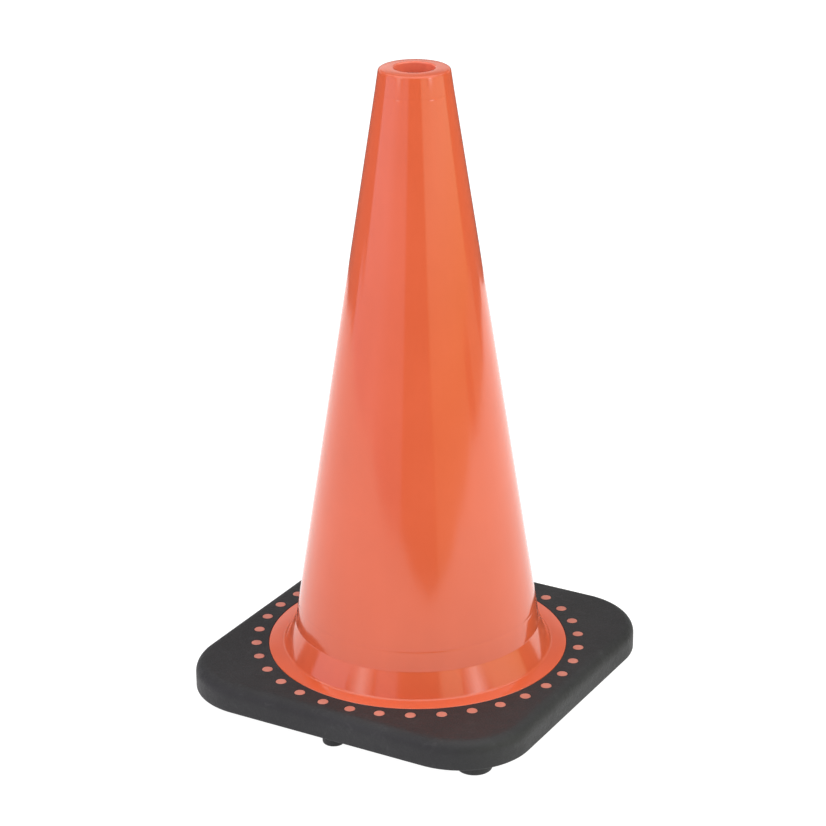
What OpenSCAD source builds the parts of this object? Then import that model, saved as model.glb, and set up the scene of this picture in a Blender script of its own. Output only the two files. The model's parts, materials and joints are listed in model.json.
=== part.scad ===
// Traffic cone: an orange tapered shell locked into a square black base.
// Millimetres, +Z up. The origin is on the ground under the cone's axis, and the base's sides lie along X and Y.

/* [Overall] */
// Overall height, from the ground to the top of the rim
cone_height = 457.2; // [440:0.1:480]

/* [Cone] */
// Radius of the straight taper where it would meet the top of the base
taper_r = 91.5; // [91:0.1:92.2]
// Radius of the same taper where it would reach the top
taper_top_r = 24.4; // [23:0.1:26]
// Outer radius of the top rim, whose collar tapers less than the wall below it
rim_r = 24.9; // [24:0.1:27]
// Radius of the hole through the top rim
hole_r = 14; // [11:0.1:16]
// Depth of the straight hole through the thick top rim
hole_depth = 14; // [10:0.5:20]
// Rounding of the rim's outer edge
rim_edge_r = 2.2; // [1:0.1:4]
// Thickness of the tapered wall, measured across it
wall_t = 3; // [2.4:0.1:3.4]
// Distance from the top down to the fine ring around the neck
neck_ring_drop = 16; // [12:0.5:24]

/* [Skirt and flange] */
// Radius of the flared skirt where its slope would meet the top of the base
skirt_r = 97.1; // [94:0.1:98]
// Height of the skirt above the base, up to the crease where the tapered wall begins
skirt_h = 17.9; // [14:0.1:20]
// Rounding of the crease between the tapered wall and the skirt
crease_r = 2; // [1:0.1:6]
// Height of the fine ring low on the tapered wall, above the base
low_ring_h = 32.6; // [28:0.1:40]
// Radius of the fillet between the skirt and the flange
flange_fillet_r = 2.5; // [1:0.1:6]
// Outer radius of the round flange, flush with the top of the base
flange_r = 108.6; // [106:0.1:110]
// Thickness of the flange
flange_t = 4; // [3:0.1:5]

/* [Lock] */
// Number of studs that come up through the base
stud_count = 34; // [24:2:34]
// Radius of the circle of studs
stud_ring_r = 117.7; // [116.5:0.1:118.5]
// Turn of the stud circle from the base's X axis
stud_turn = 0.6; // [-5:0.1:5]
// Radius of one stud
stud_r = 3.9; // [3:0.1:4.2]
// Outer radius of the buried ring that the studs stand on
lock_ring_r = 123.8; // [123.2:0.1:125.5]
// Thickness of the buried ring
lock_ring_t = 3.5; // [2.5:0.1:4]

/* [Base] */
// Side of the square base
base_w = 263.8; // [262:0.1:270]
// Radius of the base's corners, seen from above
corner_r = 53.8; // [48:0.5:58]
// Thickness of the base, without its feet
base_t = 20.4; // [19.5:0.1:24]
// Rounding of the base's upper edge
top_edge_r = 9; // [6:0.1:9.5]
// Rounding of the base's lower edge
bottom_edge_r = 1.2; // [0.8:0.1:3]
// Radius of the mouth that the next cone in a stack comes up through
mouth_r = 94; // [93.6:0.1:95]
// Depth of the cored recess in the underside
core_depth = 3.8; // [2:0.1:6.5]
// Width of the solid border around the recess
border_w = 12; // [11:0.5:16]
// Number of ribs across the recess
underside_rib_count = 16; // [16:8:32]
// Thickness of each of those ribs
underside_rib_t = 4; // [3:0.5:5]

/* [Feet] */
// Height of the feet
foot_h = 8.1; // [4:0.1:9]
// Radius of a corner foot
corner_foot_r = 12.6; // [10:0.1:13]
// Distance of a corner foot from the X and Y axes
corner_foot_pos = 103; // [100:0.5:104.5]
// Radius of the foot under the middle of a side
edge_foot_r = 8; // [5:0.1:8.5]
// Distance of that foot from the cone's axis
edge_foot_pos = 119.2; // [118:0.1:121]
// Rounding of the feet's lower edge
foot_edge_r = 1.5; // [0.5:0.1:2]

/* [Stacking ribs] */
// Number of upright ribs inside the tapered wall
stack_rib_count = 6; // [4:2:12]
// Width of each rib
stack_rib_w = 4; // [2:0.5:6]
// How far each rib stands out from the wall
stack_rib_d = 1; // [0.6:0.1:1.1]
// Height of the ribs' lower end above the base
stack_rib_low = 70; // [50:1:120]
// Height of the ribs' upper end above the base
stack_rib_high = 370; // [300:1:380]

/* [Hidden] */
$fn = 96;

orange = [0.93, 0.33, 0.20];
black = [0.20, 0.20, 0.21];

base_top = foot_h + base_t;
shell_h = cone_height - base_top;
taper = (taper_r - taper_top_r) / shell_h;
wall_across = wall_t * sqrt(1 + taper * taper);
half_w = base_w / 2;
corner_pos = half_w - corner_r;

// The buried ring and the neck that joins it to the flange
flange_bottom = base_top - flange_t;
web_t = 4;
lock_ring_top = flange_bottom - web_t;
lock_ring_bottom = lock_ring_top - lock_ring_t;
neck_in_r = 91;
neck_out_r = 96;
neck_blend_h = 14;

// The solid collar of the underside, between the mouth and the recess, and the pads above the feet
collar_r = 102;
pad_margin = 1.5;

// The fine rings are shallow V grooves
fine_ring_d = 0.15;
fine_ring_half = 0.6;
hole_edge = 1;
arc_step = 10;
overrun = 1;

// Outer radius of the tapered wall at height h above the base
function wall_r(h) = taper_r - taper * h;

// Points of an arc about [x, y], from angle a0 to angle a1 in even steps of at most arc_step
function arc(x, y, r, a0, a1) = let (steps = ceil(abs(a1 - a0) / arc_step)) [
    for (i = [0 : steps])
        let (a = a0 + (a1 - a0) * i / steps)
        [x + r * cos(a), y + r * sin(a)]
];

// Rounding of an inward corner at [x, y], between faces whose normals point at angles a0 and a1
function inward_fillet(x, y, r, a0, a1) = let (
    middle = (a0 + a1) / 2,
    reach = r / cos((a0 - a1) / 2)
) arc(x + reach * cos(middle), y + reach * sin(middle), r, a0 + 180, a1 + 180);

// A fine ring: three points of a V groove in the wall at height h
function fine_ring(h) = [
    [wall_r(h - fine_ring_half), h - fine_ring_half],
    [wall_r(h) - fine_ring_d, h],
    [wall_r(h + fine_ring_half), h + fine_ring_half]
];

// Outer line of the orange shell from the flange up to the rim's outer edge, in heights above the base
function outer_line() = let (
    wall_normal = atan(taper),
    skirt_normal = atan((skirt_r - wall_r(skirt_h)) / skirt_h)
) concat(
    [[flange_r, -flange_t], [flange_r, 0]],
    inward_fillet(skirt_r, 0, flange_fillet_r, 90, skirt_normal),
    inward_fillet(wall_r(skirt_h), skirt_h, crease_r, skirt_normal, wall_normal),
    fine_ring(low_ring_h),
    fine_ring(shell_h - neck_ring_drop),
    arc(rim_r - rim_edge_r, shell_h - rim_edge_r, rim_edge_r, 0, 90)
);

// Inner line of the shell from the rim's hole down to the flange's inner edge
function inner_line() = let (
    roof_h = shell_h - hole_depth - 2
) [
    [hole_r + hole_edge, shell_h],
    [hole_r, shell_h - hole_edge],
    [hole_r, shell_h - hole_depth],
    [wall_r(roof_h) - wall_across, roof_h],
    [wall_r(neck_blend_h) - wall_across, neck_blend_h],
    [neck_in_r, -flange_t]
];

// A round bar's half section, with its outer edges rounded: r_low at the bottom and r_high at the top
module rounded_section(r, h, r_low, r_high) {
    square([r - max(r_low, r_high), h]);
    translate([0, r_low]) square([r, h - r_low - r_high]);
    translate([r - r_low, r_low]) circle(r_low);
    square([r - r_low, h - r_high]);
    translate([r - r_high, h - r_high]) circle(r_high);
}

// One straight run of the base, from side to side, between the rounded corners
module base_bar() {
    rotate([90, 0, 0])
        linear_extrude(2 * corner_pos, center = true)
            for (side = [0, 1]) mirror([side, 0])
                rounded_section(half_w, base_t, bottom_edge_r, top_edge_r);
}

// The base's outer form: two crossed bars and four round corners
module base_form() {
    translate([0, 0, foot_h]) {
        base_bar();
        rotate(90) base_bar();
        for (x = [-1, 1], y = [-1, 1])
            translate([x * corner_pos, y * corner_pos, 0])
                rotate_extrude() rounded_section(corner_r, base_t, bottom_edge_r, top_edge_r);
    }
}

// Places a child at one of the four corner feet, or at one of the two feet under opposite sides
module at_corner_foot(i) {
    rotate(90 * i) translate([corner_foot_pos, corner_foot_pos, 0]) children();
}
module at_edge_foot(i) {
    rotate(90 + 180 * i) translate([edge_foot_pos, 0, 0]) children();
}

// The solid pad left in the recess above a foot of radius r
module foot_pad(r) {
    translate([0, 0, -overrun]) cylinder(r = r + pad_margin, h = core_depth + 2 * overrun);
}

// The space of the cored recess, open at the base's underside
module recess_space() {
    recess_half = half_w - border_w;
    recess_corner = corner_r - border_w;
    translate([0, 0, foot_h]) difference() {
        union() {
            for (turn = [0, 90]) rotate(turn)
                translate([-recess_half, -corner_pos, 0]) cube([2 * recess_half, 2 * corner_pos, core_depth]);
            for (x = [-1, 1], y = [-1, 1])
                translate([x * corner_pos, y * corner_pos, 0]) cylinder(r = recess_corner, h = core_depth);
        }
        translate([0, 0, -overrun]) cylinder(r = collar_r, h = core_depth + 2 * overrun);
        for (i = [0 : 3]) at_corner_foot(i) foot_pad(corner_foot_r);
        for (i = [0 : 1]) at_edge_foot(i) foot_pad(edge_foot_r);
    }
}

// A round foot with a softened lower edge
module foot(r) {
    rotate_extrude() {
        square([r - foot_edge_r, foot_h]);
        translate([0, foot_edge_r]) square([r, foot_h - foot_edge_r]);
        translate([r - foot_edge_r, foot_edge_r]) circle(foot_edge_r);
    }
}

module cone_shell() {
    color(orange)
        translate([0, 0, base_top])
            rotate_extrude() polygon(concat(outer_line(), inner_line()));
}

module stacking_ribs() {
    in_low = wall_r(stack_rib_low) - wall_across;
    in_high = wall_r(stack_rib_high) - wall_across;
    end_slope = 3 * stack_rib_d;
    color(orange)
        translate([0, 0, base_top])
            intersection() {
                rotate_extrude() polygon([
                    [in_low, stack_rib_low],
                    [in_high, stack_rib_high],
                    [wall_r(stack_rib_high - end_slope) - wall_across - stack_rib_d, stack_rib_high - end_slope],
                    [wall_r(stack_rib_low + end_slope) - wall_across - stack_rib_d, stack_rib_low + end_slope]
                ]);
                for (i = [0 : stack_rib_count / 2 - 1])
                    rotate(i * 360 / stack_rib_count)
                        translate([-taper_r, -stack_rib_w / 2, 0])
                            cube([2 * taper_r, stack_rib_w, shell_h]);
            }
}

module lock_ring() {
    color(orange)
        rotate_extrude() polygon([
            [neck_in_r, lock_ring_bottom],
            [lock_ring_r, lock_ring_bottom],
            [lock_ring_r, lock_ring_top],
            [neck_out_r, lock_ring_top],
            [neck_out_r, flange_bottom],
            [neck_in_r, flange_bottom]
        ]);
}

// One cylinder at every stud's place
module stud_circle(from_z, to_z) {
    for (i = [0 : stud_count - 1])
        rotate(stud_turn + i * 360 / stud_count)
            translate([stud_ring_r, 0, from_z])
                cylinder(r = stud_r, h = to_z - from_z);
}

module lock_studs() {
    color(orange) stud_circle(lock_ring_top, base_top);
}

module base_plate() {
    color(black)
        difference() {
            base_form();
            recess_space();
            translate([0, 0, foot_h - overrun]) cylinder(r = mouth_r, h = base_t);
            translate([0, 0, lock_ring_bottom]) cylinder(r = lock_ring_r, h = lock_ring_t);
            translate([0, 0, lock_ring_bottom]) cylinder(r = neck_out_r, h = flange_bottom - lock_ring_bottom);
            translate([0, 0, flange_bottom]) cylinder(r = flange_r, h = flange_t + overrun);
            stud_circle(lock_ring_top, base_top + overrun);
        }
}

module underside_ribs() {
    color(black)
        intersection() {
            recess_space();
            for (i = [0 : underside_rib_count - 1])
                rotate((i + 0.5) * 360 / underside_rib_count)
                    translate([0, -underside_rib_t / 2, 0])
                        cube([base_w, underside_rib_t, base_t]);
        }
}

module corner_foot(i) {
    color(black) at_corner_foot(i) foot(corner_foot_r);
}

module edge_foot(i) {
    color(black) at_edge_foot(i) foot(edge_foot_r);
}

cone_shell();
stacking_ribs();
lock_ring();
lock_studs();
base_plate();
underside_ribs();
corner_foot(0);  // corner_foot_1
corner_foot(1);  // corner_foot_2
corner_foot(2);  // corner_foot_3
corner_foot(3);  // corner_foot_4
edge_foot(0);  // edge_foot_1
edge_foot(1);  // edge_foot_2
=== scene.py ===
"""An 18 in traffic cone: glossy orange PVC shell, matte black base with flush orange studs, round feet.

Units are metres in the CAD frame: +Z up, the origin on the ground under the cone's axis.
"""
import json
import math

import bmesh
import bpy
from mathutils import Matrix, Vector


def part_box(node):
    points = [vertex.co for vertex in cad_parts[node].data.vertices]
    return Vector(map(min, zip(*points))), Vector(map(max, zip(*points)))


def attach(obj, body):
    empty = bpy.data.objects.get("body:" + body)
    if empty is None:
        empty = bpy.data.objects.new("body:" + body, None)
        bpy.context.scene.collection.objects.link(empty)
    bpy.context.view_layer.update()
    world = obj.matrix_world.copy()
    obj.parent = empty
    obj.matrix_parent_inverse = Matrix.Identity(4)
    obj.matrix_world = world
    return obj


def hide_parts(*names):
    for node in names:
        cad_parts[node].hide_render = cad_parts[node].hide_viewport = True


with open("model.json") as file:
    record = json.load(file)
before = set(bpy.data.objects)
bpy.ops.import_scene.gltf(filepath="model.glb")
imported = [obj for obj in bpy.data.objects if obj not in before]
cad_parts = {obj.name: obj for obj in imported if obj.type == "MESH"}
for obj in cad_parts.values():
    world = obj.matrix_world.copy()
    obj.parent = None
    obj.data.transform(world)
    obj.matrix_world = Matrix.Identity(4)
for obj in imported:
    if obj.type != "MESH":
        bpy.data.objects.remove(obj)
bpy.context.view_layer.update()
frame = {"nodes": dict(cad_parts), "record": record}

MM = 0.001


# ---------------------------------------------------------------- sizes taken from the frame

shell_lo, shell_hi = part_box("cone_shell")
base_lo, base_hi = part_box("base_plate")
stud_lo, stud_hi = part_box("lock_studs")
ring_lo, ring_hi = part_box("lock_ring")
_, rib_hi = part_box("underside_ribs")
socket = next(m for m in frame["record"]["mounts"] if m["name"] == "top_socket")

CONE_TOP = shell_hi.z
BASE_TOP = base_hi.z
BASE_BOTTOM = base_lo.z
HALF_W = base_hi.x
FLANGE_R = shell_hi.x
FLANGE_BOTTOM = shell_lo.z
LOCK_RING_R = ring_hi.x
LOCK_RING_BOTTOM = ring_lo.z
STUD_BOTTOM = stud_lo.z
RECESS_ROOF = rib_hi.z
HOLE_R = socket["dims"]["r_mm"] * MM
HOLE_EDGE = 1.0 * MM
HOLE_DEPTH = socket["dims"]["length_mm"] * MM + HOLE_EDGE
SHELL_H = CONE_TOP - BASE_TOP


# ---------------------------------------------------------------- sizes repeated from the CAD

TAPER_R = 91.5 * MM
TAPER_TOP_R = 24.4 * MM
RIM_R = 24.9 * MM
RIM_EDGE_R = 2.2 * MM
SKIRT_R = 97.1 * MM
SKIRT_H = 17.9 * MM
CREASE_R = 2.0 * MM
FLANGE_FILLET_R = 2.5 * MM
WALL_ACROSS = 3.04 * MM
NECK_IN_R = 91.0 * MM
NECK_OUT_R = 96.0 * MM
NECK_BLEND_H = 14.0 * MM
NECK_RING_DROP = 16.0 * MM
LOW_RING_H = 32.6 * MM
STUD_COUNT = 34
STUD_RING_R = 117.7 * MM
STUD_TURN = math.radians(0.6)
STUD_R = stud_hi.x - STUD_RING_R * math.cos(STUD_TURN)
CORNER_R = 53.8 * MM
TOP_EDGE_R = 9.0 * MM
BOTTOM_EDGE_R = 1.2 * MM
MOUTH_R = 94.0 * MM
COLLAR_R = 102.0 * MM
BORDER_W = 12.0 * MM
PAD_MARGIN = 1.5 * MM

TAPER = (TAPER_R - TAPER_TOP_R) / SHELL_H
FEET = [f"corner_foot_{i}" for i in range(1, 5)] + [f"edge_foot_{i}" for i in range(1, 3)]


# ---------------------------------------------------------------- details that are simpler in the CAD

# Fall of the rim's top from the hole to its outer rounding
RIM_CROWN = 0.4 * MM
# Rounding of the flange's edge
FLANGE_EDGE_R = 0.6 * MM
# Depth and half width of the fine moulded rings, low on the wall and near its top
LOW_RING = (0.06 * MM, 1.1 * MM)
NECK_RING = (0.05 * MM, 0.9 * MM)
# Softening of the base's inner edges, and of the edge of each stud hole
SOFT_EDGE = 0.5 * MM
STUD_HOLE_EDGE = 0.25 * MM
# Gap between a stud and its hole
STUD_GAP = 0.08 * MM


# ---------------------------------------------------------------- fineness of the meshes

# Edges that are steeper than this stay sharp
SHARP_ANGLE = math.radians(35)
# Points in each closed ring
SHELL_SEGMENTS = 288
BASE_SEGMENTS = 360
STUD_SEGMENTS = 32
FOOT_SEGMENTS = 64


# ---------------------------------------------------------------- camera and studio

# The camera looks from this azimuth round the cone, and the studio is laid out about the same direction
VIEW_AZIMUTH = math.radians(29.68)
CAMERA_DISTANCE = 1.7636
CAMERA_HEIGHT = 0.9209
CAMERA_PITCH = math.radians(22.06)
CAMERA_PAN = math.radians(-0.077)
CAMERA_ROLL = math.radians(-0.356)
CAMERA_LENS = 117.24

# Glow of the table under the cone, and from this far to the right onwards
TABLE_GLOW = 0.98
TABLE_GLOW_RIGHT = 1.225
TABLE_GLOW_REACH = 0.7
# Edge of the white table, as it mirrors in the glossy orange
TABLE_OUTLINE = [
    (-1.55, -0.95), (-0.30, -1.15), (0.15, -0.76), (0.80, -0.83), (1.38, -0.55),
    (1.38, 0.25), (1.25, 0.70), (1.02, 0.98), (-0.62, 1.0), (-1.28, 0.72), (-1.58, 0.33),
]
FLOOR_HALF_W = 20.0
FLOOR_Z = -0.0005
SURROUND_DISTANCE = 18.0
SURROUND_BOTTOM = -0.2
SURROUND_TOP = 12.0
SURROUND_STRENGTH = 1.2
AIR_STRENGTH = 0.14

# Where each light wall stands: its distance, its bottom and its top
WALL_LOW = (1.75, -0.6, 0.08)
WALL_HIGH = (1.75, 0.08, 1.6)
LAMP_LEFT = (1.72, 0.52, 1.25)
LAMP_RIGHT = (1.72, 0.52, 1.35)
BACKDROP_LOW = (3.0, 0.8, 1.15)
BACKDROP_HIGH = (3.0, 1.15, 2.6)
SOFTBOX_DISTANCE = 2.6
SOFTBOX_ELEVATION = 45.0
SOFTBOX_H = 0.5
SOFTBOX_TARGET_H = 0.2

# Colours of the light
WHITE = (1.0, 1.0, 1.0)
COOL = (0.95, 0.84, 1.0)
COOLER = (0.95, 0.82, 1.2)
WARM = (0.86, 0.94, 0.70)
WARMER = (0.86, 0.84, 0.40)
PALE_WARM = (0.88, 0.98, 0.78)


def studio(x, y, z=0.0):
    """A point given in studio directions: x to the camera's right, y away from the camera."""
    return Matrix.Rotation(VIEW_AZIMUTH, 3, "Z") @ Vector((x, y, z))


def around(azimuth, distance, z=0.0):
    """A studio point at an angle in degrees from the camera's direction, positive to its right."""
    a = math.radians(azimuth)
    return studio(distance * math.sin(a), -distance * math.cos(a), z)


def make_camera():
    data = bpy.data.cameras.new("camera")
    data.lens = CAMERA_LENS
    data.sensor_width = 36.0
    data.clip_start = 0.05
    data.clip_end = 60.0
    camera = bpy.data.objects.new("camera", data)
    bpy.context.scene.collection.objects.link(camera)
    forward = Vector((
        math.sin(CAMERA_PAN) * math.cos(CAMERA_PITCH),
        math.cos(CAMERA_PAN) * math.cos(CAMERA_PITCH),
        -math.sin(CAMERA_PITCH),
    ))
    right = forward.cross(Vector((0, 0, 1))).normalized()
    up = right.cross(forward)
    tilted_right = math.cos(CAMERA_ROLL) * right + math.sin(CAMERA_ROLL) * up
    tilted_up = math.cos(CAMERA_ROLL) * up - math.sin(CAMERA_ROLL) * right
    axes = Matrix((tilted_right, tilted_up, -forward)).transposed()
    turned = Matrix.Rotation(VIEW_AZIMUTH, 3, "Z") @ axes
    place = studio(0, -CAMERA_DISTANCE, CAMERA_HEIGHT)
    camera.matrix_world = Matrix.Translation(place) @ turned.to_4x4()
    bpy.context.scene.camera = camera


# ---------------------------------------------------------------- mesh helpers

def link(name, mesh):
    piece = bpy.data.objects.new(name, mesh)
    bpy.context.scene.collection.objects.link(piece)
    return piece


def to_piece(name, bm):
    """Closes a bmesh into a smooth-shaded object whose hard edges stay where faces meet steeply."""
    bmesh.ops.remove_doubles(bm, verts=bm.verts, dist=1e-6)
    bmesh.ops.recalc_face_normals(bm, faces=bm.faces)
    mesh = bpy.data.meshes.new(name)
    bm.to_mesh(mesh)
    bm.free()
    mesh.shade_smooth()
    mesh.set_sharp_from_angle(angle=SHARP_ANGLE)
    return link(name, mesh)


def arc(cx, cz, r, a0, a1, steps):
    """Points of an arc in the r-z plane, from angle a0 to a1 in degrees."""
    angles = [math.radians(a0 + (a1 - a0) * i / steps) for i in range(steps + 1)]
    return [(cx + r * math.cos(a), cz + r * math.sin(a)) for a in angles]


def add_ring(bm, radius_at, z, segments, centre=(0.0, 0.0)):
    """One closed ring of vertices at height z; radius_at gives the radius in each direction."""
    ring = []
    for k in range(segments):
        a = 2 * math.pi * k / segments
        r = radius_at(a)
        ring.append(bm.verts.new((centre[0] + r * math.cos(a), centre[1] + r * math.sin(a), z)))
    return ring


def bridge(bm, lower, upper):
    """Quads between two rings of equal length."""
    count = len(lower)
    for k in range(count):
        k2 = (k + 1) % count
        bm.faces.new((lower[k], lower[k2], upper[k2], upper[k]))


def bridge_all(bm, rings):
    """Quads from each ring to the next."""
    for lower, upper in zip(rings, rings[1:]):
        bridge(bm, lower, upper)


def circle_rings(bm, outline, segments, centre=(0.0, 0.0)):
    """Round rings of vertices about one upright axis, one for each (radius, height)."""
    return [add_ring(bm, lambda a, r=r: r, z, segments, centre) for r, z in outline]


def lathe_into(bm, outline, segments):
    """Turns a closed outline of (radius, height) points about the cone's axis."""
    rings = circle_rings(bm, outline, segments)
    bridge_all(bm, rings + rings[:1])


def plug_into(bm, outline, segments, centre):
    """Turns an open outline of (radius, height) points, and closes both ends with a flat face."""
    rings = circle_rings(bm, outline, segments, centre)
    bridge_all(bm, rings)
    bm.faces.new(rings[0])
    bm.faces.new(rings[-1])


def flat_face_with_holes(bm, rings):
    """Fills one flat face whose boundary is all the given rings: an outer one and the holes in it."""
    edges = []
    for ring in rings:
        for k, vert in enumerate(ring):
            other = ring[(k + 1) % len(ring)]
            edges.append(bm.edges.get((vert, other)) or bm.edges.new((vert, other)))
    bmesh.ops.triangle_fill(bm, use_beauty=True, use_dissolve=False, edges=edges)


# ---------------------------------------------------------------- the orange shell

def wall_r(h):
    """Outer radius of the tapered wall at height h above the base."""
    return TAPER_R - TAPER * h


def fine_ring(h, depth, half):
    """A shallow moulded line round the wall at height h above the base."""
    points = []
    steps = 8
    reach = 1.6 * half
    for i in range(-steps, steps + 1):
        x = i / steps
        at = h + reach * x
        points.append((wall_r(at) - depth * math.cos(math.pi * x / 2) ** 4, at))
    return points


def inward_fillet(x, h, r, normal_0, normal_1, steps):
    """Rounding of an inward corner at (x, h), between faces whose normals point at those angles."""
    middle = math.radians((normal_0 + normal_1) / 2)
    reach = r / math.cos(math.radians(normal_0 - normal_1) / 2)
    cx = x + reach * math.cos(middle)
    ch = h + reach * math.sin(middle)
    return arc(cx, ch, r, normal_0 + 180, normal_1 + 180, steps)


def crown():
    """The rim's top, falling slightly from the hole to the outer edge."""
    inside = HOLE_R + HOLE_EDGE
    outside = RIM_R - RIM_EDGE_R
    steps = 8
    parts = [i / steps for i in range(steps - 1, 0, -1)]
    return [(inside + (outside - inside) * t, SHELL_H - RIM_CROWN * t * t) for t in parts]


def shell_outline():
    """Closed section of the shell, in (radius, height above the base), from the flange's lower edge."""
    wall_normal = math.degrees(math.atan(TAPER))
    skirt_normal = math.degrees(math.atan((SKIRT_R - wall_r(SKIRT_H)) / SKIRT_H))
    flange_bottom = FLANGE_BOTTOM - BASE_TOP
    roof_h = SHELL_H - HOLE_DEPTH - 2 * MM
    outer = [(FLANGE_R, flange_bottom)]
    outer += arc(FLANGE_R - FLANGE_EDGE_R, -FLANGE_EDGE_R, FLANGE_EDGE_R, 0, 90, 4)
    outer += inward_fillet(SKIRT_R, 0.0, FLANGE_FILLET_R, 90, skirt_normal, 14)
    outer += inward_fillet(wall_r(SKIRT_H), SKIRT_H, CREASE_R, skirt_normal, wall_normal, 6)
    outer += fine_ring(LOW_RING_H, *LOW_RING)
    wall_steps = 40
    low = LOW_RING_H + 4 * MM
    high = SHELL_H - NECK_RING_DROP - 3 * MM
    heights = [low + (high - low) * i / wall_steps for i in range(wall_steps + 1)]
    outer += [(wall_r(h), h) for h in heights]
    outer += fine_ring(SHELL_H - NECK_RING_DROP, *NECK_RING)
    outer += arc(RIM_R - RIM_EDGE_R, SHELL_H - RIM_EDGE_R - RIM_CROWN, RIM_EDGE_R, 7, 84, 9)
    outer += crown()
    inner = arc(HOLE_R + HOLE_EDGE, SHELL_H - HOLE_EDGE, HOLE_EDGE, 90, 180, 5)
    inner += [(HOLE_R, SHELL_H - HOLE_DEPTH), (wall_r(roof_h) - WALL_ACROSS, roof_h)]
    inner_heights = (0.7 * SHELL_H, 0.4 * SHELL_H, 0.1 * SHELL_H, NECK_BLEND_H)
    inner += [(wall_r(h) - WALL_ACROSS, h) for h in inner_heights]
    inner += [(NECK_IN_R, flange_bottom)]
    return [(r, BASE_TOP + h) for r, h in outer + inner]


def make_shell():
    bm = bmesh.new()
    lathe_into(bm, shell_outline(), SHELL_SEGMENTS)
    piece = to_piece("orange_shell", bm)
    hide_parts("cone_shell")
    return piece


# ---------------------------------------------------------------- studs

def stud_centres():
    """Centre of each stud in the circle."""
    angles = [STUD_TURN + 2 * math.pi * i / STUD_COUNT for i in range(STUD_COUNT)]
    return [(STUD_RING_R * math.cos(a), STUD_RING_R * math.sin(a)) for a in angles]


def make_studs():
    """One round stud at each place, level with the base's face and softened at its edge."""
    bm = bmesh.new()
    r = STUD_R - STUD_GAP
    top = BASE_TOP
    outline = [
        (r * 0.25, top), (r * 0.8, top), (r - 0.3 * MM, top - 0.03 * MM),
        (r - 0.08 * MM, top - 0.14 * MM), (r, top - 0.4 * MM), (r, STUD_BOTTOM),
    ]
    for centre in stud_centres():
        plug_into(bm, outline, STUD_SEGMENTS, centre)
    piece = to_piece("stud_ring", bm)
    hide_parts("lock_studs")
    return piece


# ---------------------------------------------------------------- the black base

def rounded_square_r(angle, half, corner):
    """Distance from the centre to the edge of a square with rounded corners, in direction angle."""
    a = angle % (math.pi / 2)
    if a > math.pi / 4:
        a = math.pi / 2 - a
    c0 = half - corner
    if half * math.tan(a) <= c0:
        return half / math.cos(a)
    m = c0 * (math.cos(a) + math.sin(a))
    return m + math.sqrt(m * m - 2 * c0 * c0 + corner * corner)


def outline_r(angle, inset):
    """Edge of the base, moved inwards by inset."""
    return rounded_square_r(angle, HALF_W - inset, CORNER_R - inset)


def pads():
    """Centre and radius of the solid pad above each foot."""
    found = []
    for node in FEET:
        lo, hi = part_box(node)
        centre = (lo + hi) / 2
        found.append((centre.x, centre.y, (hi.x - lo.x) / 2 + PAD_MARGIN))
    return found


def recess_r(angle, pad_list):
    """Outer edge of the underside's recess: the border's inner edge, or the near side of a pad."""
    r = outline_r(angle, BORDER_W)
    ux, uy = math.cos(angle), math.sin(angle)
    for x, y, pad_r in pad_list:
        along = x * ux + y * uy
        across = x * uy - y * ux
        if along > 0 and abs(across) < pad_r:
            r = min(r, along - math.sqrt(pad_r * pad_r - across * across))
    return r


def base_skin(bm):
    """The slab's side and underside, from the flat top's edge down and in to the lock ring's channel."""
    pad_list = pads()

    def ring(radius_at, z):
        return add_ring(bm, radius_at, z, BASE_SEGMENTS)

    skin = [ring(lambda a: outline_r(a, TOP_EDGE_R), BASE_TOP)]
    for x, z in arc(-TOP_EDGE_R, BASE_TOP - TOP_EDGE_R, TOP_EDGE_R, 82, 0, 11):
        skin.append(ring(lambda a, d=-x: outline_r(a, d), z))
    side_top = BASE_TOP - TOP_EDGE_R
    side_bottom = BASE_BOTTOM + BOTTOM_EDGE_R
    for i in range(1, 4):
        skin.append(ring(lambda a: outline_r(a, 0.0), side_top + (side_bottom - side_top) * i / 4))
    for x, z in arc(-BOTTOM_EDGE_R, side_bottom, BOTTOM_EDGE_R, 0, -90, 6):
        skin.append(ring(lambda a, d=-x: outline_r(a, d), z))
    skin.append(ring(lambda a: recess_r(a, pad_list) + SOFT_EDGE, BASE_BOTTOM))
    skin.append(ring(lambda a: recess_r(a, pad_list), BASE_BOTTOM + SOFT_EDGE))
    skin.append(ring(lambda a: recess_r(a, pad_list), RECESS_ROOF))
    collar = [(COLLAR_R, RECESS_ROOF), (COLLAR_R, BASE_BOTTOM + SOFT_EDGE)]
    collar += [(COLLAR_R - SOFT_EDGE, BASE_BOTTOM), (MOUTH_R + SOFT_EDGE, BASE_BOTTOM)]
    mouth = [(MOUTH_R, BASE_BOTTOM + SOFT_EDGE), (MOUTH_R, LOCK_RING_BOTTOM)]
    channel = [(LOCK_RING_R, LOCK_RING_BOTTOM), (LOCK_RING_R, STUD_BOTTOM)]
    skin += circle_rings(bm, collar + mouth + channel, BASE_SEGMENTS)
    bridge_all(bm, skin)
    return skin


def base_neck(bm, seat_edge):
    """The neck hole and the flange's seat, from the channel's roof up to the seat's edge."""
    outline = [(NECK_OUT_R, STUD_BOTTOM), (NECK_OUT_R, FLANGE_BOTTOM)]
    outline += [(FLANGE_R, FLANGE_BOTTOM), (FLANGE_R, BASE_TOP - SOFT_EDGE)]
    neck = circle_rings(bm, outline, BASE_SEGMENTS)
    neck.append(seat_edge)
    bridge_all(bm, neck)
    return neck


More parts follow.
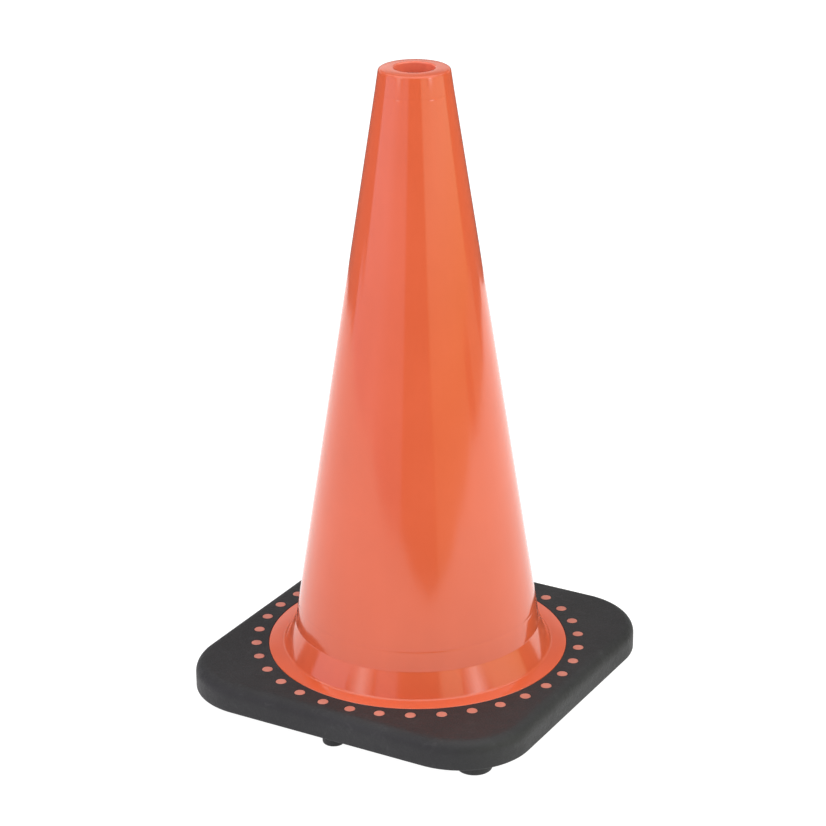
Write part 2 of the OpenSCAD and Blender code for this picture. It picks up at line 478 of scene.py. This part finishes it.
def stud_holes(bm):
    """The wall of each stud's hole. Returns the holes' upper rings and their lower ones."""
    outline = [(STUD_R + STUD_HOLE_EDGE, BASE_TOP), (STUD_R, BASE_TOP - STUD_HOLE_EDGE)]
    outline += [(STUD_R, STUD_BOTTOM)]
    upper = []
    lower = []
    for centre in stud_centres():
        rings = circle_rings(bm, outline, STUD_SEGMENTS, centre)
        bridge_all(bm, rings)
        upper.append(rings[0])
        lower.append(rings[-1])
    return upper, lower


def make_base():
    """The slab, with its flange seat and stud holes, and the recess, mouth and lock ring channel below."""
    bm = bmesh.new()
    seat_edge = add_ring(bm, lambda a: FLANGE_R + SOFT_EDGE, BASE_TOP, BASE_SEGMENTS)
    skin = base_skin(bm)
    neck = base_neck(bm, seat_edge)
    upper_holes, lower_holes = stud_holes(bm)
    flat_face_with_holes(bm, [skin[0], seat_edge] + upper_holes)
    flat_face_with_holes(bm, [skin[-1], neck[0]] + lower_holes)
    piece = to_piece("black_base", bm)
    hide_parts("base_plate")
    return piece


def make_foot(node):
    """A round foot that flares into the base at its root and has a softened, slightly dished underside."""
    lo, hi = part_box(node)
    centre = ((lo.x + hi.x) / 2, (lo.y + hi.y) / 2)
    r = (hi.x - lo.x) / 2
    height = hi.z - lo.z
    edge = 1.7 * MM
    flare = 1.2 * MM
    dish = 0.5 * MM
    bm = bmesh.new()
    points = [(0.35 * r, dish), (0.62 * r, dish * 0.6), (r - edge - 1.2 * MM, 0.0)]
    points += arc(r - edge, edge, edge, 270, 360, 8)
    points += [(r, height * 0.5)]
    points += arc(r + flare, height - flare, flare, 180, 90, 6)
    points += [(0.35 * r, height)]
    plug_into(bm, points, FOOT_SEGMENTS, centre)
    piece = to_piece("moulded_" + node, bm)
    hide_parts(node)
    return piece


# ---------------------------------------------------------------- materials

class Nodes:
    """Short calls for building one material's node tree."""

    def __init__(self, name):
        self.material = bpy.data.materials.new(name)
        self.material.use_nodes = True
        self.tree = self.material.node_tree
        self.tree.nodes.clear()
        self.shader = self.add("ShaderNodeBsdfPrincipled")
        out = self.add("ShaderNodeOutputMaterial")
        self.join(self.shader.outputs["BSDF"], out.inputs["Surface"])
        self.place = self.add("ShaderNodeTexCoord").outputs["Object"]

    def add(self, kind, **settings):
        node = self.tree.nodes.new(kind)
        for key, value in settings.items():
            setattr(node, key, value)
        return node

    def join(self, a, b):
        self.tree.links.new(a, b)

    def set(self, **values):
        for key, value in values.items():
            self.shader.inputs[key.replace("_", " ")].default_value = value

    def stretched(self, scale):
        node = self.add("ShaderNodeMapping")
        node.inputs["Scale"].default_value = scale
        self.join(self.place, node.inputs["Vector"])
        return node.outputs["Vector"]

    def noise(self, scale, detail=3.0, rough=0.5, vector=None, distortion=0.0):
        node = self.add("ShaderNodeTexNoise")
        node.inputs["Scale"].default_value = scale
        node.inputs["Detail"].default_value = detail
        node.inputs["Roughness"].default_value = rough
        node.inputs["Distortion"].default_value = distortion
        self.join(vector or self.place, node.inputs["Vector"])
        return node.outputs["Fac"]

    def axis_distance(self):
        """Distance from the cone's axis."""
        flat = self.add("ShaderNodeVectorMath", operation="LENGTH")
        self.join(self.stretched((1.0, 1.0, 0.0)), flat.inputs[0])
        return flat.outputs["Value"]

    def fit(self, value, lo, hi, to_lo, to_hi):
        node = self.add("ShaderNodeMapRange")
        node.clamp = True
        for key, number in (("From Min", lo), ("From Max", hi), ("To Min", to_lo), ("To Max", to_hi)):
            node.inputs[key].default_value = number
        self.join(value, node.inputs["Value"])
        return node.outputs["Result"]

    def math(self, operation, a, b):
        node = self.add("ShaderNodeMath", operation=operation)
        for socket_in, value in ((node.inputs[0], a), (node.inputs[1], b)):
            if isinstance(value, (int, float)):
                socket_in.default_value = value
            else:
                self.join(value, socket_in)
        return node.outputs[0]

    def blend(self, amount, a, b):
        """Mix of two colours, each a colour or a socket."""
        node = self.add("ShaderNodeMix", data_type="RGBA")
        self.join(amount, node.inputs["Factor"])
        for socket_in, value in ((node.inputs[6], a), (node.inputs[7], b)):
            if isinstance(value, tuple):
                socket_in.default_value = (*value, 1.0)
            else:
                self.join(value, socket_in)
        return node.outputs[2]

    def bump(self, layers):
        """Stacks bump layers of (height, strength, distance) onto the shader's normal."""
        normal = None
        for height, strength, distance in layers:
            node = self.add("ShaderNodeBump")
            node.inputs["Strength"].default_value = strength
            node.inputs["Distance"].default_value = distance
            self.join(height, node.inputs["Height"])
            if normal is not None:
                self.join(normal, node.inputs["Normal"])
            normal = node.outputs["Normal"]
        self.join(normal, self.shader.inputs["Normal"])


def orange_pvc():
    """Glossy fluorescent orange PVC: faint colour clouds, flow lines up the wall, fine scuffs.

    Inside the rim's hole it is painted a lighter orange: painted light, standing in for the light that
    brightens the hole's wall.
    """
    n = Nodes("orange_pvc")
    clouds = n.noise(14.0, 3.0, 0.55)
    flow = n.noise(60.0, 3.0, 0.5, n.stretched((1.0, 1.0, 0.04)))
    scuff = n.noise(260.0, 6.0, 0.7, n.stretched((1.0, 1.0, 0.18)))
    tone = n.fit(n.math("ADD", clouds, n.math("MULTIPLY", flow, 0.35)), 0.5, 0.9, 0.0, 1.0)
    wall = n.blend(tone, (0.700, 0.114, 0.041), (0.745, 0.126, 0.048))
    # painted light: the wall inside the hole is painted a lighter orange in place of the light that
    # brightens it
    hole_painted_light = n.fit(n.axis_distance(), HOLE_R, HOLE_R + HOLE_EDGE, 1.0, 0.0)
    n.join(n.blend(hole_painted_light, wall, (0.98, 0.22, 0.13)), n.shader.inputs["Base Color"])
    marks = n.fit(scuff, 0.58, 0.75, 0.0, 1.0)
    rough = n.math("ADD", n.fit(clouds, 0.3, 0.7, 0.08, 0.12), n.math("MULTIPLY", marks, 0.08))
    n.join(rough, n.shader.inputs["Roughness"])
    n.set(IOR=1.6)
    waves = n.noise(9.0, 2.0, 0.4, n.stretched((1.0, 1.0, 0.6)))
    peel = n.noise(420.0, 2.0, 0.5)
    n.bump([(waves, 0.07, 0.004), (peel, 0.05, 0.0004), (flow, 0.04, 0.0006)])
    return n.material


def stud_pvc():
    """The same PVC where it comes up flush with the base: duller, with black rubbed into it."""
    n = Nodes("orange_stud_pvc")
    clouds = n.noise(90.0, 3.0, 0.6)
    grime = n.noise(700.0, 4.0, 0.65)
    tone = n.fit(clouds, 0.35, 0.65, 0.0, 1.0)
    clean = n.blend(tone, (0.56, 0.190, 0.140), (0.64, 0.225, 0.165))
    colour = n.blend(n.fit(grime, 0.62, 0.78, 0.0, 0.45), clean, (0.16, 0.07, 0.06))
    n.join(colour, n.shader.inputs["Base Color"])
    n.join(n.fit(clouds, 0.3, 0.7, 0.38, 0.5), n.shader.inputs["Roughness"])
    n.set(IOR=1.5)
    n.bump([(grime, 0.15, 0.0003)])
    return n.material


def black_pvc():
    """Matte recycled PVC: near black with grey clouds, a fine moulded grain, pits and light scuffs."""
    n = Nodes("black_base_pvc")
    clouds = n.noise(11.0, 4.0, 0.6)
    grain = n.noise(900.0, 3.0, 0.6)
    lumps = n.noise(170.0, 3.0, 0.55)
    scuffs = n.noise(75.0, 6.0, 0.72, n.stretched((1.0, 1.7, 1.0)), 0.6)
    tone = n.fit(clouds, 0.35, 0.68, 0.0, 1.0)
    body = n.blend(tone, (0.016, 0.016, 0.0175), (0.025, 0.025, 0.027))
    dusty = n.blend(n.fit(scuffs, 0.56, 0.74, 0.0, 0.55), body, (0.047, 0.047, 0.049))
    n.join(dusty, n.shader.inputs["Base Color"])
    rough = n.math("ADD", n.fit(grain, 0.3, 0.7, 0.56, 0.68), n.math("MULTIPLY", tone, -0.06))
    n.join(rough, n.shader.inputs["Roughness"])
    n.set(IOR=1.5, Specular_IOR_Level=0.40)
    n.bump([(lumps, 0.45, 0.0012), (grain, 0.6, 0.0004)])
    return n.material


def paint(piece, material):
    """Gives a piece its one material, and attaches it to the root body."""
    piece.data.materials.clear()
    piece.data.materials.append(material)
    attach(piece, "root")


# ---------------------------------------------------------------- studio

def table_material():
    """White tabletop, lit through from below, and more strongly to the camera's right."""
    n = Nodes("white_table")
    n.set(Base_Color=(0.22, 0.22, 0.22, 1.0), Roughness=0.9, Emission_Color=(1.0, 1.0, 1.0, 1.0))
    rightwards = n.add("ShaderNodeVectorMath", operation="DOT_PRODUCT")
    rightwards.inputs[1].default_value = studio(1.0, 0.0)
    n.join(n.place, rightwards.inputs[0])
    glow = n.fit(rightwards.outputs["Value"], 0.0, TABLE_GLOW_REACH, TABLE_GLOW, TABLE_GLOW_RIGHT)
    n.join(glow, n.shader.inputs["Emission Strength"])
    return n.material


def glow_material(name, colours, heights, strengths):
    """Light that changes evenly between two heights, and whose strength also varies along the wall."""
    material = bpy.data.materials.new(name)
    material.use_nodes = True
    tree = material.node_tree
    tree.nodes.clear()
    glow = tree.nodes.new("ShaderNodeEmission")
    place = tree.nodes.new("ShaderNodeTexCoord")
    split = tree.nodes.new("ShaderNodeSeparateXYZ")
    rise = tree.nodes.new("ShaderNodeMapRange")
    rise.inputs["From Min"].default_value = heights[0]
    rise.inputs["From Max"].default_value = heights[1]
    strength = tree.nodes.new("ShaderNodeMapRange")
    strength.inputs["To Min"].default_value = strengths[0]
    strength.inputs["To Max"].default_value = strengths[1]
    tint = tree.nodes.new("ShaderNodeMix")
    tint.data_type = "RGBA"
    tint.inputs[6].default_value = (*colours[0], 1.0)
    tint.inputs[7].default_value = (*colours[1], 1.0)
    along = tree.nodes.new("ShaderNodeAttribute")
    along.attribute_name = "along"
    product = tree.nodes.new("ShaderNodeMath")
    product.operation = "MULTIPLY"
    out = tree.nodes.new("ShaderNodeOutputMaterial")
    tree.links.new(place.outputs["Object"], split.inputs["Vector"])
    tree.links.new(split.outputs["Z"], rise.inputs["Value"])
    tree.links.new(rise.outputs["Result"], strength.inputs["Value"])
    tree.links.new(rise.outputs["Result"], tint.inputs["Factor"])
    tree.links.new(strength.outputs["Result"], product.inputs[0])
    tree.links.new(along.outputs["Fac"], product.inputs[1])
    tree.links.new(tint.outputs[2], glow.inputs["Color"])
    tree.links.new(product.outputs[0], glow.inputs["Strength"])
    tree.links.new(glow.outputs["Emission"], out.inputs["Surface"])
    return material


def flat_stage(name, corners, material):
    """A flat stage piece through the given corners."""
    mesh = bpy.data.meshes.new(name)
    mesh.from_pydata([tuple(c) for c in corners], [], [list(range(len(corners)))])
    piece = link(name, mesh)
    piece.data.materials.append(material)
    return piece


def light_wall(name, place, profile, colours, heights, strengths):
    """A curved light round the table that the camera itself sees past.

    The place is (distance, bottom, top). The profile lists (azimuth, factor), and the light's
    strength runs evenly from one to the next. The two colours and strengths belong to the two heights.
    """
    distance, bottom, top = place
    steps = 8
    stations = [profile[0]]
    for (a0, f0), (a1, f1) in zip(profile, profile[1:]):
        stations += [(a0 + (a1 - a0) * i / steps, f0 + (f1 - f0) * i / steps) for i in range(1, steps + 1)]
    verts = [tuple(around(a, distance, z)) for a, _ in stations for z in (bottom, top)]
    faces = [(2 * i, 2 * i + 2, 2 * i + 3, 2 * i + 1) for i in range(len(stations) - 1)]
    mesh = bpy.data.meshes.new(name)
    mesh.from_pydata(verts, [], faces)
    along = mesh.attributes.new("along", "FLOAT", "POINT")
    for i, (_, factor) in enumerate(stations):
        along.data[2 * i].value = factor
        along.data[2 * i + 1].value = factor
    piece = link(name, mesh)
    piece.data.materials.append(glow_material(name, colours, heights, strengths))
    piece.visible_camera = False
    piece.visible_shadow = False


def white_surround():
    """Far white wall all round, so that the camera sees no horizon. It lights nothing."""
    steps = 48
    places = [(360 * i / steps, z) for i in range(steps) for z in (SURROUND_BOTTOM, SURROUND_TOP)]
    verts = [tuple(around(azimuth, SURROUND_DISTANCE, z)) for azimuth, z in places]
    faces = []
    for i in range(steps):
        j = (i + 1) % steps
        faces.append((2 * i, 2 * j, 2 * j + 1, 2 * i + 1))
    mesh = bpy.data.meshes.new("white_surround")
    mesh.from_pydata(verts, [], faces)
    n = Nodes("white_surround")
    n.set(Emission_Color=(1.0, 1.0, 1.0, 1.0), Emission_Strength=SURROUND_STRENGTH)
    piece = link("white_surround", mesh)
    piece.data.materials.append(n.material)
    piece.visible_diffuse = False
    piece.visible_glossy = False
    piece.visible_shadow = False


def softbox(name, azimuth, elevation, distance, size, power):
    """An area light that points at the cone, and that the camera itself doesn't see."""
    data = bpy.data.lights.new(name, "AREA")
    data.shape = "RECTANGLE"
    data.size = size[0]
    data.size_y = size[1]
    data.energy = power
    lamp = bpy.data.objects.new(name, data)
    e = math.radians(elevation)
    place = around(azimuth, distance * math.cos(e), distance * math.sin(e) + SOFTBOX_TARGET_H)
    target = Vector((0, 0, SOFTBOX_TARGET_H))
    lamp.location = place
    lamp.rotation_euler = (target - place).to_track_quat("-Z", "Y").to_euler()
    lamp.visible_camera = False
    bpy.context.scene.collection.objects.link(lamp)


def make_table():
    """The table, and a floor of the same white that the glossy orange doesn't mirror."""
    pale = table_material()
    flat_stage("table", [studio(x, y) for x, y in TABLE_OUTLINE], pale)
    far = FLOOR_HALF_W
    corners = [studio(x, y, FLOOR_Z) for x, y in ((-far, -far), (far, -far), (far, far), (-far, far))]
    floor = flat_stage("floor", corners, pale)
    floor.visible_glossy = False


def make_walls():
    """Light walls at the left and the right, with a gap round the camera."""
    left_low = ((-108, 1.0), (-60, 1.0), (-40, 0.7), (-19, 0.6), (-15, 0.0))
    left_high = ((-98, 0.0), (-94, 1.0), (-60, 1.0), (-40, 0.7), (-19, 0.6), (-15, 0.0))
    right_low = ((18, 0.0), (22, 0.8), (40, 0.9), (60, 1.0), (70, 1.0), (74, 0.0))
    right_high = ((17, 0.0), (21, 0.8), (40, 0.9), (60, 1.0), (97, 1.0), (101, 0.0))
    right_end = ((80, 0.0), (84, 1.0), (106, 1.0))
    light_wall("wall_left_low", WALL_LOW, left_low, (COOLER, COOL), (-0.1, 0.08), (0.75, 1.04))
    light_wall("wall_left_high", WALL_HIGH, left_high, (COOL, COOL), (0.08, 0.3), (1.04, 1.40))
    light_wall("wall_right_low", WALL_LOW, right_low, (PALE_WARM, WARMER), (-0.2, 0.08), (0.72, 0.64))
    light_wall("wall_right_high", WALL_HIGH, right_high, (WARMER, WARM), (0.1, 0.36), (0.86, 1.44))
    light_wall("wall_right_end", WALL_LOW, right_end, (WARM, WARM), (0.0, 0.3), (0.50, 0.95))


def make_lamps():
    """A brighter upright strip in front of each wall."""
    left = ((-62, 0.0), (-55, 0.5), (-49, 1.0), (-43, 0.5), (-36, 0.0))
    right = ((38, 0.0), (45, 0.5), (51, 1.0), (57, 0.5), (64, 0.0))
    light_wall("lamp_left", LAMP_LEFT, left, (WHITE, WHITE), (0.0, 1.0), (2.2, 3.4))
    light_wall("lamp_right", LAMP_RIGHT, right, (WHITE, WHITE), (0.0, 1.0), (2.4, 4.6))


def make_backdrop():
    """A pale screen behind the cone, brightest just above where its two parts meet."""
    behind = ((125, 0.8), (176, 0.85), (184, 1.15), (235, 1.2))
    light_wall("backdrop_low", BACKDROP_LOW, behind, (WHITE, WHITE), (0.8, 1.15), (0.50, 0.82))
    light_wall("backdrop_high", BACKDROP_HIGH, behind, (WHITE, WHITE), (1.3, 1.6), (0.82, 0.30))


def make_softboxes():
    """Four boxes round the table, and a large one overhead."""
    for name, azimuth, width, power in (
        ("softbox_right", 68.0, 1.4, 5.0),
        ("softbox_left", -60.0, 1.1, 4.2),
        ("softbox_back_right", 118.0, 1.4, 2.2),
        ("softbox_back_left", -118.0, 1.4, 3.2),
    ):
        softbox(name, azimuth, SOFTBOX_ELEVATION, SOFTBOX_DISTANCE, (width, SOFTBOX_H), power)
    softbox("softbox_top", 0.0, 88.0, 3.0, (4.5, 4.5), 106.0)


def make_air():
    """Faint even light from all round."""
    world = bpy.data.worlds.new("studio_air")
    world.use_nodes = True
    sky = world.node_tree.nodes["Background"]
    sky.inputs["Color"].default_value = (1.0, 1.0, 1.0, 1.0)
    sky.inputs["Strength"].default_value = AIR_STRENGTH
    bpy.context.scene.world = world


# ---------------------------------------------------------------- build

bpy.context.scene.view_settings.view_transform = "Standard"
make_camera()
make_table()
white_surround()
make_walls()
make_lamps()
make_backdrop()
make_softboxes()
make_air()

orange = orange_pvc()
orange_dull = stud_pvc()
black = black_pvc()

paint(make_shell(), orange)
paint(make_studs(), orange_dull)
paint(make_base(), black)
for node in FEET:
    paint(make_foot(node), black)

for name, material in (("stacking_ribs", orange), ("lock_ring", orange), ("underside_ribs", black)):
    for material_slot in frame["nodes"][name].material_slots:
        material_slot.material = material
